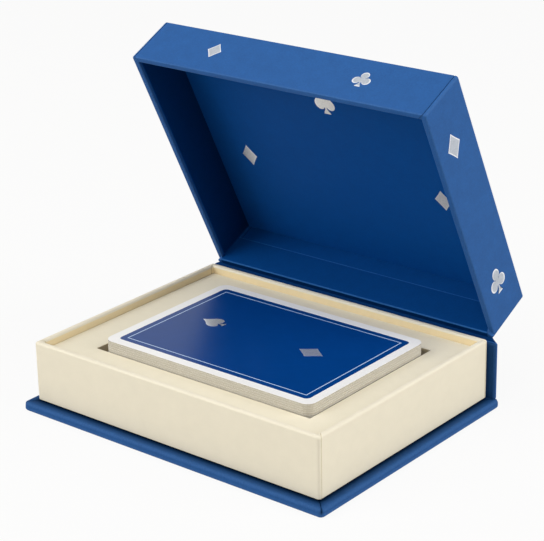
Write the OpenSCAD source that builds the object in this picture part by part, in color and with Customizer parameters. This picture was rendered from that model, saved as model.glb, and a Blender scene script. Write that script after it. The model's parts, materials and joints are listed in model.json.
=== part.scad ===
// Playing card deck in a rigid box with a hinged lid.
// Millimetres. +Z is up, +Y points from the box front to the hinge.
// The origin is the middle of the base underside.

/* [Deck] */
// Long side of a card
card_w = 88.9; // [80:0.1:120]
// Short side of a card
card_d = 63.5; // [56:0.1:90]
// Thickness of a card
card_t = 0.29; // [0.26:0.01:0.31]
// Air between two cards that lie on each other
card_air = 0.01; // [0.005:0.005:0.02]
// Corner radius of a card
card_r = 3.5; // [2.5:0.1:5]
// Cards in each suit
suit_count = 13; // [11:1:13]
// How far the deck stands above the tray rim
deck_proud = 1; // [0.4:0.1:1.5]
// How far cards lie out of line in the deck
card_stray = 0.12; // [0:0.02:0.2]

/* [Insert] */
// How far the platform lies below the tray rim
platform_drop = 2.9; // [2:0.1:5]
// Thickness of the platform board
platform_t = 1.2; // [0.8:0.1:2]
// Gap round the platform inside the tray
platform_gap = 0.2; // [0.1:0.05:0.5]
// Thickness of the pad that the deck lies on
pad_t = 4.81; // [1:0.01:8]
// Thickness of the riser strips round the well
riser_t = 1.6; // [1:0.1:2]
// Finger space in the well at the left end of the deck
finger_left = 3; // [2:0.1:7]
// Finger space in the well behind the deck
finger_back = 2.4; // [2:0.1:6]
// Gap beside the deck at its front and right sides
deck_gap = 0.5; // [0.3:0.1:1]
// Width of the platform left of the well
shelf_left = 13.95; // [5:0.05:20]
// Width of the platform right of the well
shelf_right = 12.05; // [5:0.05:20]
// Width of the platform in front of the well
shelf_front = 11.55; // [5:0.05:20]
// Width of the platform behind the well
shelf_back = 11.25; // [5:0.05:20]

/* [Base and spine] */
// Thickness of the base board with its paper
base_t = 3.4; // [2:0.1:4]
// Radius of the base board's corners
base_corner_r = 1.2; // [0.6:0.1:3]
// How far the base shows past the tray
base_edge = 3.8; // [2.5:0.1:5]
// Thickness of the spine board with its paper
spine_t = 1.9; // [1.6:0.1:3]
// Gap between the tray and the spine
spine_gap = 0.7; // [0.2:0.1:1]
// How far the spine's ends are set in from the ends of the base
spine_inset = 1.4; // [0:0.1:2]

/* [Tray] */
// Thickness of the tray's walls with their paper
tray_wall_t = 2.2; // [1.6:0.1:3]
// Thickness of the tray's floor
tray_floor_t = 2; // [1.5:0.1:2.5]
// Gap under the tray's walls, which are glued round the floor board
tray_reveal = 0.5; // [0:0.1:1]
// Radius of the tray's upright corners
tray_corner_r = 1.8; // [0.8:0.1:3]

/* [Lid] */
// Depth of the lid, from the rim of its front and side walls to the outside of its panel
lid_h = 20; // [18:0.5:26]
// Thickness of the lid's walls with their paper
lid_wall_t = 2.2; // [1.6:0.1:3]
// Thickness of the lid's panel
lid_panel_t = 2; // [1.5:0.1:3]
// Radius of the lid's upright corners
lid_corner_r = 1; // [0.5:0.1:2]
// How far the lid overhangs the tray at each side
lid_side_over = 0.1; // [0:0.1:1]
// How far the lid overhangs the tray at the front
lid_front_over = 2; // [0:0.1:2]
// Thickness of the lining sheet
lining_t = 0.3; // [0.2:0.05:0.6]
// Gap round the lining sheet
lining_gap = 0.2; // [0.1:0.05:0.5]
// How far the lid stands open, in degrees
lid_open = 64; // [50:1:100]

/* [Hinge] */
// How far the hinge lies below the tray rim
hinge_drop = 1; // [0.5:0.1:4]
// Thickness of the hinge paper
paper_t = 0.25; // [0.15:0.05:0.35]
// Radius of the paper fold
fold_r = 0.3; // [0.25:0.05:0.4]
// Clearance between parts that move past each other
move_gap = 0.3; // [0.2:0.05:0.5]

/* [Hidden] */
$fn = 48;
suits = 4;
jokers = 2;

// The box is built outwards from the deck: well, platform, tray, then the base
well_w = card_w + finger_left + deck_gap;
well_d = card_d + finger_back + deck_gap;
tray_in_w = well_w + shelf_left + shelf_right;
tray_in_d = well_d + shelf_front + shelf_back;
tray_w = tray_in_w + 2 * tray_wall_t;
tray_d = tray_in_d + 2 * tray_wall_t;
base_w = tray_w + 2 * base_edge;
base_d = tray_d + base_edge + spine_gap + spine_t;
spine_w = base_w - 2 * spine_inset;
tray_y0 = -base_d / 2 + base_edge;
tray_ym = tray_y0 + tray_d / 2;
card_count = suits * suit_count + jokers;
card_pitch = card_t + card_air;
deck_h = card_count * card_pitch - card_air;
floor_z = base_t + tray_floor_t;
deck_z = floor_z + pad_t;
rim_z = deck_z + deck_h - deck_proud;
tray_z = base_t + tray_reveal;
tray_h = rim_z - tray_z;

platform_z = rim_z - platform_drop;
platform_low_z = platform_z - platform_t;
well_x0 = -tray_in_w / 2 + shelf_left;
well_x1 = well_x0 + well_w;
well_y0 = tray_ym - tray_in_d / 2 + shelf_front;
well_y1 = well_y0 + well_d;
deck_x = well_x1 - deck_gap - card_w / 2;
deck_y = well_y0 + deck_gap + card_d / 2;

// Golden angle, spreads the strays of neighbouring cards
stray_turn = 137.5;

hinge_y = base_d / 2 + paper_t + move_gap;
hinge_z = rim_z - hinge_drop;
spine_top_z = hinge_z - fold_r - move_gap;
lid_w = tray_w + 2 * lid_side_over;
// The lid is drawn closed, behind its back face is the hinge line
lid_y0 = tray_y0 - lid_front_over;
lid_y1 = hinge_y - paper_t;
lid_d = lid_y1 - lid_y0;
lid_ym = (lid_y0 + lid_y1) / 2;
lid_rim_z = rim_z + move_gap;
// The back wall reaches down behind the tray to the hinge
lid_back_rim_z = hinge_z + move_gap;
lid_top_z = lid_rim_z + lid_h;
lid_in_z = lid_top_z - lid_panel_t;

blue = [0.20, 0.36, 0.60];
dark_blue = [0.06, 0.20, 0.42];
cream = [0.90, 0.87, 0.79];
grey_board = [0.62, 0.58, 0.52];
card_white = [0.93, 0.93, 0.91];
card_edge = [0.76, 0.74, 0.68];
card_blue = [0.02, 0.20, 0.48];

// Flat rectangle with round corners, centred
module round_rect(w, d, r) {
    union() {
        square([w - 2 * r, d], center = true);
        square([w, d - 2 * r], center = true);
        for (sx = [-1, 1], sy = [-1, 1])
            translate([sx * (w / 2 - r), sy * (d / 2 - r)]) circle(r = r);
    }
}

// Ring of four walls seen from above, with round outer corners
module wall_ring(w, d, t, r) {
    difference() {
        round_rect(w, d, r);
        square([w - 2 * t, d - 2 * t], center = true);
    }
}

// Front wall of a ring, cut at 45 degrees where it meets its neighbours
module front_wall(w, d, t, r, h) {
    linear_extrude(height = h)
        intersection() {
            wall_ring(w, d, t, r);
            polygon([[-w / 2, -d / 2], [w / 2, -d / 2], [w / 2 - t, -d / 2 + t], [-w / 2 + t, -d / 2 + t]]);
        }
}

// Left wall of a ring, cut the same way
module left_wall(w, d, t, r, h) {
    linear_extrude(height = h)
        intersection() {
            wall_ring(w, d, t, r);
            polygon([[-w / 2, -d / 2], [-w / 2 + t, -d / 2 + t], [-w / 2 + t, d / 2 - t], [-w / 2, d / 2]]);
        }
}

// Box from its low corner
module block(x0, y0, z0, w, d, h) {
    translate([x0, y0, z0]) cube([w, d, h]);
}

module base_board() {
    color(blue) linear_extrude(height = base_t) round_rect(base_w, base_d, base_corner_r);
}

module spine_board() {
    color(blue) block(-spine_w / 2, base_d / 2 - spine_t, base_t, spine_w, spine_t, spine_top_z - base_t);
}

module hinge_paper() {
    color(blue) block(-spine_w / 2, base_d / 2, base_t, spine_w, paper_t, spine_top_z - base_t);
}

module tray_floor() {
    color(cream) block(-tray_in_w / 2, tray_ym - tray_in_d / 2, base_t, tray_in_w, tray_in_d, tray_floor_t);
}

module in_tray() {
    translate([0, tray_ym, tray_z]) children();
}

module tray_front_wall() {
    color(cream) in_tray() front_wall(tray_w, tray_d, tray_wall_t, tray_corner_r, tray_h);
}

module tray_back_wall() {
    color(cream) in_tray() mirror([0, 1, 0]) front_wall(tray_w, tray_d, tray_wall_t, tray_corner_r, tray_h);
}

module tray_left_wall() {
    color(cream) in_tray() left_wall(tray_w, tray_d, tray_wall_t, tray_corner_r, tray_h);
}

module tray_right_wall() {
    color(cream) in_tray() mirror([1, 0, 0]) left_wall(tray_w, tray_d, tray_wall_t, tray_corner_r, tray_h);
}

module riser_front() {
    color(cream) block(well_x0 - riser_t, well_y0 - riser_t, floor_z,
                       well_w + 2 * riser_t, riser_t, platform_low_z - floor_z);
}

module riser_back() {
    color(cream) block(well_x0 - riser_t, well_y1, floor_z,
                       well_w + 2 * riser_t, riser_t, platform_low_z - floor_z);
}

module riser_left() {
    color(cream) block(well_x0 - riser_t, well_y0, floor_z, riser_t, well_d, platform_low_z - floor_z);
}

module riser_right() {
    color(cream) block(well_x1, well_y0, floor_z, riser_t, well_d, platform_low_z - floor_z);
}

module deck_pad() {
    color(grey_board) block(well_x0, well_y0, floor_z, well_w, well_d, pad_t);
}

module insert_platform() {
    color(cream) translate([0, 0, platform_low_z])
        linear_extrude(height = platform_t)
            difference() {
                translate([0, tray_ym])
                    square([tray_in_w - 2 * platform_gap, tray_in_d - 2 * platform_gap], center = true);
                translate([well_x0, well_y0]) square([well_w, well_d]);
            }
}

// Turns what is drawn closed to the open pose of the photo
module opened() {
    translate([0, hinge_y, hinge_z]) rotate([-lid_open, 0, 0]) translate([0, -hinge_y, -hinge_z]) children();
}

module lid_panel() {
    color(blue) opened() translate([0, lid_ym, lid_in_z])
        linear_extrude(height = lid_panel_t) round_rect(lid_w, lid_d, lid_corner_r);
}

module in_lid() {
    opened() translate([0, lid_ym, lid_rim_z]) children();
}

module lid_front_wall() {
    color(blue) in_lid() front_wall(lid_w, lid_d, lid_wall_t, lid_corner_r, lid_in_z - lid_rim_z);
}

module lid_back_wall() {
    color(blue) opened() translate([0, lid_ym, lid_back_rim_z]) mirror([0, 1, 0])
        front_wall(lid_w, lid_d, lid_wall_t, lid_corner_r, lid_in_z - lid_back_rim_z);
}

module lid_left_wall() {
    color(blue) in_lid() left_wall(lid_w, lid_d, lid_wall_t, lid_corner_r, lid_in_z - lid_rim_z);
}

module lid_right_wall() {
    color(blue) in_lid() mirror([1, 0, 0])
        left_wall(lid_w, lid_d, lid_wall_t, lid_corner_r, lid_in_z - lid_rim_z);
}

module lid_lining() {
    lining_w = lid_w - 2 * lid_wall_t - 2 * lining_gap;
    lining_d = lid_d - 2 * lid_wall_t - 2 * lining_gap;
    color(dark_blue) opened()
        block(-lining_w / 2, lid_ym - lining_d / 2, lid_in_z - lining_t, lining_w, lining_d, lining_t);
}

module hinge_fold() {
    fold_w = lid_w - 2 * lid_corner_r;
    color(blue) opened() union() {
        translate([-fold_w / 2, hinge_y, hinge_z]) rotate([0, 90, 0]) cylinder(r = fold_r, h = fold_w);
        block(-fold_w / 2, lid_y1, hinge_z, fold_w, paper_t, lid_in_z - hinge_z);
    }
}

// One card of the deck, counted from the bottom
module card(i) {
    translate([deck_x + card_stray * sin(i * stray_turn), deck_y + card_stray * cos(i * stray_turn),
               deck_z + i * card_pitch])
        linear_extrude(height = card_t) round_rect(card_w, card_d, card_r);
}

module suit(first) {
    for (i = [first : first + suit_count - 1]) card(i);
}

module joker_card() {
    color(card_white) card(0);
}

module club_cards() {
    color(card_edge) suit(1);
}

module diamond_cards() {
    color(card_edge) suit(1 + suit_count);
}

module heart_cards() {
    color(card_edge) suit(1 + 2 * suit_count);
}

module spade_cards() {
    color(card_edge) suit(1 + 3 * suit_count);
}

module top_card() {
    color(card_blue) card(card_count - 1);
}

base_board();
spine_board();
hinge_paper();
tray_floor();
tray_front_wall();
tray_back_wall();
tray_left_wall();
tray_right_wall();
riser_front();
riser_back();
riser_left();
riser_right();
deck_pad();
insert_platform();
lid_panel();
lid_front_wall();
lid_back_wall();
lid_left_wall();
lid_right_wall();
lid_lining();
hinge_fold();
top_card();
spade_cards();
heart_cards();
diamond_cards();
club_cards();
joker_card();
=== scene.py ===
"""Looks of a boxed playing card deck: papered boards, lining, cards and foil marks over the frame."""

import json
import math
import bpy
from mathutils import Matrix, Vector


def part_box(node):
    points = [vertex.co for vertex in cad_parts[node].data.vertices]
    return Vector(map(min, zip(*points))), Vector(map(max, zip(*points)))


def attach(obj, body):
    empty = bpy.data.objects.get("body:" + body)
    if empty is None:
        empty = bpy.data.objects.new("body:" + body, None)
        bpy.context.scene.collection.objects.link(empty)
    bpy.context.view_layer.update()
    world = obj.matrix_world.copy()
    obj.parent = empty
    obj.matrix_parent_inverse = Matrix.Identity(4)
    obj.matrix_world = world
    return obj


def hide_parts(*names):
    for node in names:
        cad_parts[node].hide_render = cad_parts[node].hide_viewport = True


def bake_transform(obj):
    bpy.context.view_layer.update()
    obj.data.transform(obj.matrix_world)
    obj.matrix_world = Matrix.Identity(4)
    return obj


bl_info = {
    "name": "Boxed playing card deck",
    "version": (1, 0, 0),
    "blender": (4, 5, 0),
    "location": "3D View > Sidebar > Boxed deck",
    "description": "Covers the box, lid and cards of a boxed deck with paper, print and foil",
    "category": "Object",
}

from typing import NamedTuple

import bpy
import numpy as np
from bpy.props import FloatProperty, FloatVectorProperty, PointerProperty
from mathutils import Matrix

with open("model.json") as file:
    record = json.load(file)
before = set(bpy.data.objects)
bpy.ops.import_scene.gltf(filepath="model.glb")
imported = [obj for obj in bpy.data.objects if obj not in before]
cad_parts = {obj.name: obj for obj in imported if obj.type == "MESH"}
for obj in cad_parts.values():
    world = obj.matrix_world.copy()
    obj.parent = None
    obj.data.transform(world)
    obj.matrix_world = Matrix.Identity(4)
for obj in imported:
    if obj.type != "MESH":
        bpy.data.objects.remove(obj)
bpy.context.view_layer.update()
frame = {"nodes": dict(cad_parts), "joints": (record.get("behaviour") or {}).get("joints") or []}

MM = 0.001
# Sides of a plan, in the order in which its outline passes them. A corner has the number of the side after it
RIGHT, BACK, LEFT, FRONT = range(4)
X, Y, Z = np.eye(3)


def linear(code):
    """An sRGB hex colour as linear red, green, blue and alpha."""
    channels = np.array([int(code[i:i + 2], 16) for i in (1, 3, 5)]) / 255
    low, high = channels / 12.92, ((channels + 0.055) / 1.055) ** 2.4
    return (*np.where(channels <= 0.04045, low, high).tolist(), 1.0)


# Sizes that the frame gives

def corners(*nodes):
    """Lowest and highest corner of these CAD nodes together."""
    boxes = np.array([[list(c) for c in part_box(n)] for n in nodes])
    return boxes[:, 0].min(0), boxes[:, 1].max(0)


def plan_of(low, high):
    """Centre and half size, in x and y, of the box between two corners."""
    return (low + high)[:2] / 2, (high - low)[:2] / 2


HINGE = next(j for j in frame["joints"] if j["name"] == "lid_hinge")
PIN = np.array(HINGE["pos_m"])
# The lid's range starts where it is shut, so that end gives how far it stands open at rest
LID_OPEN = math.radians(-HINGE["range_deg"][0])


def swing(points, angle):
    """Points turned about the hinge line: x stays, y and z turn by the angle round the pin."""
    c, s = math.cos(angle), math.sin(angle)
    x, y, z = np.moveaxis(np.asarray(points) - PIN, -1, 0)
    return PIN + np.stack([x, c * y - s * z, s * y + c * z], -1)


def shut_corners(*nodes):
    """Lowest and highest corner of these lid nodes with the lid shut and its faces square to the axes."""
    lowest, highest = [], []
    for name in nodes:
        mesh = frame["nodes"][name].data
        points = np.empty(len(mesh.vertices) * 3)
        mesh.vertices.foreach_get("co", points)
        points = swing(points.reshape(-1, 3), LID_OPEN)
        lowest.append(points.min(0))
        highest.append(points.max(0))
    return np.min(lowest, 0), np.max(highest, 0)


SIDES = ("front", "back", "left", "right")
TRAY_WALLS = [f"tray_{side}_wall" for side in SIDES]
RISERS = [f"riser_{side}" for side in SIDES]
LID_WALLS = [f"lid_{side}_wall" for side in SIDES]
PACKETS = ("joker_card", "spade_cards", "heart_cards", "diamond_cards", "club_cards")


# Properties

def length(name, millimetres, description):
    """A length property, given in millimetres and kept in metres."""
    return FloatProperty(
        name=name, description=description, default=millimetres * MM, unit="LENGTH", precision=4)


def angle(name, degrees, description):
    """An angle property, given in degrees and kept in radians."""
    return FloatProperty(name=name, description=description, default=math.radians(degrees), unit="ROTATION")


def power(name, watts, description):
    """A lamp's power property, in watts."""
    return FloatProperty(name=name, description=description, default=watts, unit="POWER")


def colour(name, code, description):
    """A colour property, given as sRGB hex and kept linear."""
    return FloatVectorProperty(
        name=name, description=description, default=linear(code), size=4, subtype="COLOR", min=0, max=1)


class BoxWrapSettings(bpy.types.PropertyGroup):
    """Paper and edges of the covered boards"""

    base_edge: length("Base edge", 1.3, "Radius of the base board's edges under the paper")
    base_corner: length("Base corner", 1.9, "Radius of the base board's corners in plan")
    tray_rim: length("Tray rim", 0.8, "Radius of the tray rim's two edges")
    tray_foot: length("Tray foot", 0.35, "Radius of the lower edge of the tray's walls")
    tray_corner: length("Tray corner", 1.0, "Radius of the tray's upright corners")
    lid_edge: length("Lid edge", 0.7, "Radius of the edges round the lid panel")
    lid_rim: length("Lid rim", 0.5, "Radius of the lid rim's two edges")
    lid_corner: length("Lid corner", 1.0, "Radius of the lid's upright corners")
    lid_turn_in: length("Lid turn-in", 1.2, "How far the blue wrap goes up the inside of the lid's walls")
    spine_edge: length("Spine edge", 0.7, "Radius of the spine board's edges")
    insert_edge: length("Insert edge", 0.25, "Radius of the platform's edges")
    sheet_edge: length("Sheet edge", 0.25, "Radius of the edges of the lining sheet")
    seam_depth: length("Seam depth", 0.22, "Depth of the line where two turned-in papers meet")
    blue: colour("Blue wrap", "#265998", "Paper round the base, the spine and the lid")
    blue_rubbed: colour("Rubbed blue", "#3B69A5", "Blue wrap along rubbed edges")
    # This colour is also the painted shade at the tray's foot and on the spine
    blue_seam_and_shade: colour("Blue seam", "#041830", "Blue wrap in its seams and in deep corners")
    lining: colour("Blue lining", "#004B95", "Paper inside the lid")
    lining_rubbed: colour("Rubbed lining", "#3F7CBE", "Lining along rubbed folds")
    cream: colour("Cream wrap", "#F0E8D3", "Paper round the tray")
    cream_rubbed: colour("Rubbed cream", "#F1E9D5", "Cream wrap along rubbed edges")
    cream_seam: colour("Cream seam", "#CDBE98", "Cream wrap in its seams")
    platform: colour("Platform", "#F0E8D1", "Paper on the platform")
    # Warmer than the outer wrap: partly the paper, partly painted warm bounce light on the walls' shaded
    # inner side
    tray_inside: colour("Tray inside", "#F2E0B7", "Paper on the inner side of the tray's walls")
    inside_seam: colour("Inside seam", "#A8905F", "Seams of the paper inside the tray")
    well: colour("Well sides", "#BCAE92", "Cut board round the well")
    board: colour("Grey board", "#A89B82", "Bare board of the deck pad")


class CardSettings(bpy.types.PropertyGroup):
    """Cards, their print and the foil marks"""

    corner: length("Card corner", 3.5, "Radius of a card's corners")
    border: length("Border", 3.5, "White border round the print on a card's back")
    panel_corner: length("Print corner", 1.7, "Radius of the printed panel's corners")
    line_inset: length("Line inset", 2.2, "Distance from the panel's edge to the fine line")
    line_width: length("Line width", 0.34, "Width of the fine line")
    stray: length("Stray", 0.03, "How far cards lie out of line in the deck")
    foil_lift: length("Foil lift", 0.03, "How far the foil stands above the paper")
    stock: colour("Card stock", "#F8F7F5", "Coated white of the cards")
    print_blue: colour("Blue print", "#023B7F", "Print on the cards' backs")
    line_white: colour("White line", "#C4DAF6", "Fine line round the print")
    cut_edge: colour("Cut edge", "#C3BEB0", "Cut edges of the cards")
    foil: colour("Silver foil", "#B8BEC7", "Suit marks on the outside of the lid")
    bright_foil: colour("Bright foil", "#EFF0F1", "Suit marks inside the lid and on the top card")
    foil_rim: colour("Foil rim", "#F4F5F6", "Raised rim of the suit marks")


class StageSettings(bpy.types.PropertyGroup):
    """Camera, light and floor"""

    azimuth: angle("Azimuth", 39.39, "Turn of the camera from the front towards the right")
    elevation: angle("Elevation", 21.24, "Height of the camera above the horizon")
    roll: angle("Roll", -1.12, "Turn of the camera about its own line of sight")
    distance: length("Distance", 655.4, "From the camera to the point that it looks at")
    aim_right: length("Aim right", 4.87, "How far right of the origin the camera looks")
    aim_up: length("Aim up", 47.62, "How far above the origin the camera looks")
    lens: FloatProperty(
        name="Lens", description="Focal length in millimetres", default=125.82, unit="CAMERA")
    floor: colour("Floor", "#D6D5D2", "Pale floor")
    sky: colour("Sky", "#FFFAF0", "Colour of the even light round the object")
    sky_level: FloatProperty(
        name="Sky level", description="Strength of the even light round the object", default=0.25)
    key_power: power("Key power", 10.0, "Soft light at the front left")
    top_power: power("Top power", 6.5, "Soft light above the front")
    fill_power: power("Fill power", 6.9, "Soft light at the back right")


# Surfaces

CORNER_STEPS = 8
BEND_STEPS = 6
CURVE_STEPS = 8
SEAM_HALF_WIDTH = 0.16 * MM
# 1 at the middle one of the three points across each of the two seams on a side
SEAM_LINES = np.array([0, 1, 0, 0, 1, 0])
# Corner steps over which a mitre's dark line fades out to either side
MITRE_STEPS = 2
# Inside corners are folded paper, nearly square
TIGHT = 0.12 * MM
# Faces that meet at a wider angle than this keep a sharp edge
SHARP = math.radians(40)
# How much more a large face counts than a small one where normals are averaged: 50 is alike, 100 the most
LARGE_FACE_WEIGHT = 90


class Surface(NamedTuple):
    """Points, faces in blocks of like corner count, the material of each face, and two values of each point.

    Edge is 0 on the board's faces and 1 half-way round an edge. Seam is 1 in the line where two papers meet,
    and also holds painted shade, which nears 1 in the darkest corners.
    """

    points: np.ndarray
    blocks: list
    slots: np.ndarray
    edge: np.ndarray
    seam: np.ndarray


def quad_curve(start, pull, end):
    """Points on a quadratic curve from start to end, drawn towards pull."""
    t = np.linspace(0, 1, CURVE_STEPS + 1)[:, None]
    return (1 - t) ** 2 * np.array(start) + 2 * t * (1 - t) * np.array(pull) + t ** 2 * np.array(end)


def outline(half, radius, seam=None):
    """Rounded rectangles with the half sizes half and the corner radii radius, one row each.

    Each is four quarter circles, counter-clockwise from the front right corner. With a seam, the straight
    side after each quarter circle has three points across a paper seam, at the distance seam from either
    corner. Gives the points and their outward normals, in arrays of rows, points and x, y.
    """
    start = (np.arange(4) - 1) * np.pi / 2
    sign = np.sign(np.stack([np.cos(start + np.pi / 4), np.sin(start + np.pi / 4)], -1))
    turn = start[:, None] + np.linspace(0, np.pi / 2, CORNER_STEPS + 1)
    normals = np.stack([np.cos(turn), np.sin(turn)], -1)
    centre = sign * (half[:, None] - radius[:, None, None])
    points = centre[:, :, None] + radius[:, None, None, None] * normals
    if seam is not None:
        end = start + np.pi / 2
        side_out = np.stack([np.cos(end), np.sin(end)], -1)
        along = np.stack([-np.sin(end), np.cos(end)], -1)
        side_length = 2 * (np.abs(along) * half[:, None]).sum(-1)
        near = np.broadcast_to(seam + SEAM_HALF_WIDTH * np.array([-1, 0, 1]), (*side_length.shape, 3))
        places = np.concatenate([near, side_length[..., None] - near[..., ::-1]], -1)
        sides = (sign * half[:, None])[:, :, None] + places[..., None] * along[:, None]
        points = np.concatenate([points, sides], 2)
        normals = np.concatenate([normals, np.repeat(side_out[:, None], places.shape[-1], 1)], 1)
    normals = normals.reshape(-1, 2)
    return points.reshape(len(half), -1, 2), np.broadcast_to(normals, (len(half), *normals.shape))


def side_seams(*sides):
    """1 where a point of an outline with seams lies in a seam of one of these sides."""
    on_round = np.zeros((4, CORNER_STEPS + 1))
    on_side = np.outer(np.isin(np.arange(4), sides), SEAM_LINES)
    return np.concatenate([on_round, on_side], 1).ravel()


def corner_seams():
    """1 where a point of an outline without seams lies half-way round a corner, and less to either side.

    That is where the paper is mitred.
    """
    off_mitre = np.abs(np.arange(CORNER_STEPS + 1) - CORNER_STEPS // 2)
    return np.tile(np.clip(1 - off_mitre / MITRE_STEPS, 0, 1), 4)


def back_corners():
    """1 where a point of an outline without seams lies on one of the two back corners."""
    return np.repeat(np.isin(np.arange(4), (BACK, LEFT)), CORNER_STEPS + 1)


def back_side():
    """1 where a point of an outline with seams lies on the back side or its two corners."""
    on_round = np.tile(np.isin(np.arange(4), (BACK, LEFT))[:, None], CORNER_STEPS + 1)
    on_side = np.tile((np.arange(4) == BACK)[:, None], len(SEAM_LINES))
    return np.concatenate([on_round, on_side], 1).ravel()


def bend(first, last, radius, inset, height):
    """Rows of a profile round an edge: an arc about inset and height, between two directions in degrees.

    0 degrees points out of the wall and 90 up. A row is inset, height, and the direction's two parts.
    """
    turn = np.radians(np.linspace(first, last, BEND_STEPS + 1))
    out, up = np.cos(turn), np.sin(turn)
    return np.column_stack([inset - radius * out, height + radius * up, out, up])


def flat(inset, height, out, up):
    """One row of a profile: its inset and height, and the two parts of the direction that it faces."""
    return np.array([[inset, height, out, up]])


def upright(low, high, edge):
    """Profile of a board standing on another: straight up, then a quarter circle round its upper edge."""
    return [flat(0, low, 1, 0), bend(0, 90, edge, edge, high - edge)]


def slab(low, high, edge):
    """Profile of a sheet: a quarter circle round its lower edge, then one round its upper edge."""
    return [bend(-90, 0, edge, edge, low + edge), bend(0, 90, edge, edge, high - edge)]


class Rows:
    """Profile rows carried round a plan: the plan's outline drawn in by each row's inset, at its height.

    Radii are the corner radii of each row, where they don't follow the inset. Groove is 1 where the rows dip
    into the seams, sinks is 1 where they lie lower on a part of the plan, and painted shade darkens them like
    a seam.
    """

    def __init__(self, centre, half, radius, profile, material=0, radii=None, groove=1, sinks=0, soil=0.0):
        profile = np.concatenate(profile)
        inset = profile[:, 0]
        self.centre = np.broadcast_to(np.asarray(centre), (len(profile), 2))
        self.half = np.asarray(half) - inset[:, None]
        self.radius = np.maximum(radius - inset, TIGHT) if radii is None else np.asarray(radii)
        self.height = profile[:, 1]
        self.out, self.up = profile[:, 2], profile[:, 3]
        self.material = np.broadcast_to(material, len(profile))
        self.groove = np.full(len(profile), groove)
        self.sinks = np.full(len(profile), sinks)
        self.soil = np.broadcast_to(soil, len(profile))


def carried(*groups, seam=None, seams=0.0, depth=0.0, dip=0.0, spared=0.0, cyclic=False):
    """Surface of profile rows carried round their plans, with seams sunk against the way that it faces.

    Seams are sunk by depth where seams is 1. Rows that sink lie lower by dip, and the rows' painted shade is
    lessened by the share spared. Seams, dip and spared are given for each point of the plan.
    """
    joined = {k: np.concatenate([getattr(g, k) for g in groups]) for k in vars(groups[0])}
    points, normals = outline(joined["half"], joined["radius"], seam)
    count = normals.shape[1]
    out, up = joined["out"][:, None], joined["up"][:, None]
    direction = np.stack([out * normals[..., 0], out * normals[..., 1], up * np.ones(count)], -1)
    sunk = joined["groove"][:, None] * np.broadcast_to(seams, count)
    flat_points = points + joined["centre"][:, None]
    heights = joined["height"][:, None] - joined["sinks"][:, None] * np.broadcast_to(dip, count)
    rings = np.concatenate([flat_points, heights[..., None]], -1) - depth * sunk[..., None] * direction
    edge = np.maximum(2 * np.abs(out * up), 2 * np.abs(out * normals[..., 0] * normals[..., 1]))
    # Painted shade of each row, less where it is spared
    painted_shading = np.outer(joined["soil"], np.broadcast_to(1 - np.asarray(spared), count))
    return lofted(rings, joined["material"], edge, np.maximum(sunk, painted_shading), cyclic)


def lofted(rings, material, edge=None, seam=None, cyclic=False):
    """Quads between each ring of points and the next. The end rings are filled, or joined when cyclic.

    The material is given for each ring, or for each point of each ring.
    """
    m, n = rings.shape[:2]
    i, j = np.meshgrid(np.arange(m if cyclic else m - 1), np.arange(n), indexing="ij")
    low, high, after = i * n, (i + 1) % m * n, (j + 1) % n
    blocks = [np.stack([low + j, low + after, high + after, high + j], -1).reshape(-1, 4)]
    material = np.reshape(material, (m, -1))
    slots = np.broadcast_to(material[:len(i)], i.shape).ravel()
    if not cyclic:
        ring = np.arange(n)[None]
        blocks += [ring[:, ::-1], ring + (m - 1) * n]
        slots = np.append(slots, material[[0, -1], 0])
    edge, seam = (np.zeros(m * n) if v is None else np.ravel(v) for v in (edge, seam))
    return Surface(rings.reshape(-1, 3), blocks, slots, edge, seam)


def piece(name, surfaces, materials, body, replaced=(), turned=False, bends=None):
    """One mesh object of these surfaces at the origin, riding on a body.

    The lid's pieces are drawn shut, then turned. With bends, two points that are not otherwise used, the
    piece rides on no body and keeps the place where it is drawn.
    first and the lid after the second.
    """
    starts = np.cumsum([0] + [len(s.points) for s in surfaces])
    faces = []
    for surface, start in zip(surfaces, starts):
        for block in surface.blocks:
            faces += (block + start).tolist()
    points = np.concatenate([s.points for s in surfaces])
    if turned:
        points = swing(points, -LID_OPEN)
    mesh = bpy.data.meshes.new(name)
    mesh.from_pydata(points.tolist(), [], faces)
    for finish in materials:
        mesh.materials.append(finish)
    slots = np.concatenate([s.slots for s in surfaces])
    mesh.polygons.foreach_set("material_index", slots.astype(np.int32))
    mesh.polygons.foreach_set("use_smooth", np.ones(len(faces), bool))
    for key in ("edge", "seam"):
        values = np.concatenate([getattr(s, key) for s in surfaces])
        mesh.attributes.new(key, "FLOAT", "POINT").data.foreach_set("value", values.astype(np.float32))
    mesh.update()
    mesh.set_sharp_from_angle(angle=SHARP)
    made = bpy.data.objects.new(name, mesh)
    bpy.context.scene.collection.objects.link(made)
    weighted = made.modifiers.new("Flat faces stay flat", "WEIGHTED_NORMAL")
    weighted.keep_sharp = True
    weighted.weight = LARGE_FACE_WEIGHT
    if bends is None:
        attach(made, body)
    else:
        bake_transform(made)
    if replaced:
        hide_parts(*replaced)


# Materials

# A mix node of colours: its settings, its two colour inputs and its colour output
COLOUR_MIX = {"data_type": "RGBA"}
OVERLAY_MIX = {"data_type": "RGBA", "blend_type": "OVERLAY"}
MIX_A, MIX_B, MIXED = 6, 7, 2


def node(tree, kind, settings=None, values=None, links=None):
    """Adds one node with its settings and input values, and links other nodes' outputs to its inputs."""
    made = tree.nodes.new(kind)
    for key, value in (settings or {}).items():
        setattr(made, key, value)
    for key, value in (values or {}).items():
        made.inputs[key].default_value = value
    for key, output in (links or {}).items():
        tree.links.new(made.inputs[key], output)
    return made


def material(name, build):
    """The material of this name, or a new one whose shader build makes."""
    found = bpy.data.materials.get(name)
    if found:
        return found
    made = bpy.data.materials.new(name)
    made.use_nodes = True
    tree = made.node_tree
    tree.nodes.clear()
    shader = build(tree)
    node(tree, "ShaderNodeOutputMaterial", links={"Surface": shader.outputs[0]})
    return made


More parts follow.
